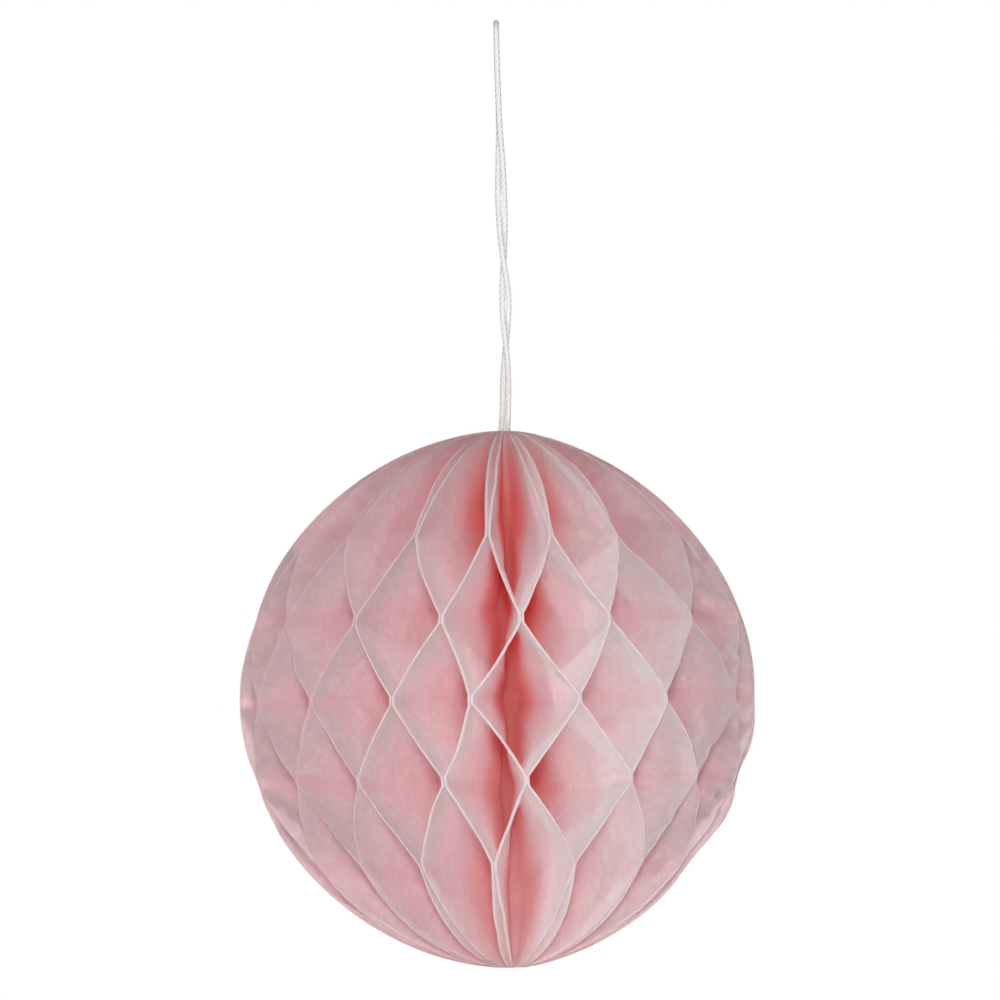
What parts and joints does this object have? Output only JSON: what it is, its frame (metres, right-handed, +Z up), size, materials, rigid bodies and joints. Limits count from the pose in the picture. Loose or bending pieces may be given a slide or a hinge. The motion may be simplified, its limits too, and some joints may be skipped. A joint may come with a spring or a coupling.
{
  "type": "honeycomb paper ball",
  "caption": "Hanging honeycomb ball of half-round tissue leaves, glued to each other in staggered rows and fanned open round an upright core, on a looped cotton cord.",
  "frame": {"origin": "the inside top of the cord's loop, where a hook carries the ball", "axes": "+Z up along the cord and the ball's core, the ball below the origin, its front towards -Y"},
  "size_m": [0.0995, 0.1, 0.1837],
  "materials": {
    "tissue": "matt, thin, lets light through",
    "cotton": "matt twisted string"
  },
  "bodies": {
    "root": {"leaf_01": "tissue", "leaf_02": "tissue", "leaf_03": "tissue", "leaf_04": "tissue", "leaf_05": "tissue", "leaf_06": "tissue", "leaf_07": "tissue", "leaf_08": "tissue", "leaf_09": "tissue", "leaf_10": "tissue", "leaf_11": "tissue", "leaf_12": "tissue", "leaf_13": "tissue", "leaf_14": "tissue", "leaf_15": "tissue", "leaf_16": "tissue", "leaf_17": "tissue", "leaf_18": "tissue", "leaf_19": "tissue", "leaf_20": "tissue", "leaf_21": "tissue", "leaf_22": "tissue", "leaf_23": "tissue", "leaf_24": "tissue", "leaf_25": "tissue", "leaf_26": "tissue", "leaf_27": "tissue", "leaf_28": "tissue", "leaf_29": "tissue", "leaf_30": "tissue", "leaf_31": "tissue", "leaf_32": "tissue", "leaf_33": "tissue", "leaf_34": "tissue", "hanging_cord": "cotton", "cord_knot": "cotton"}
  },
  "joints": []
}
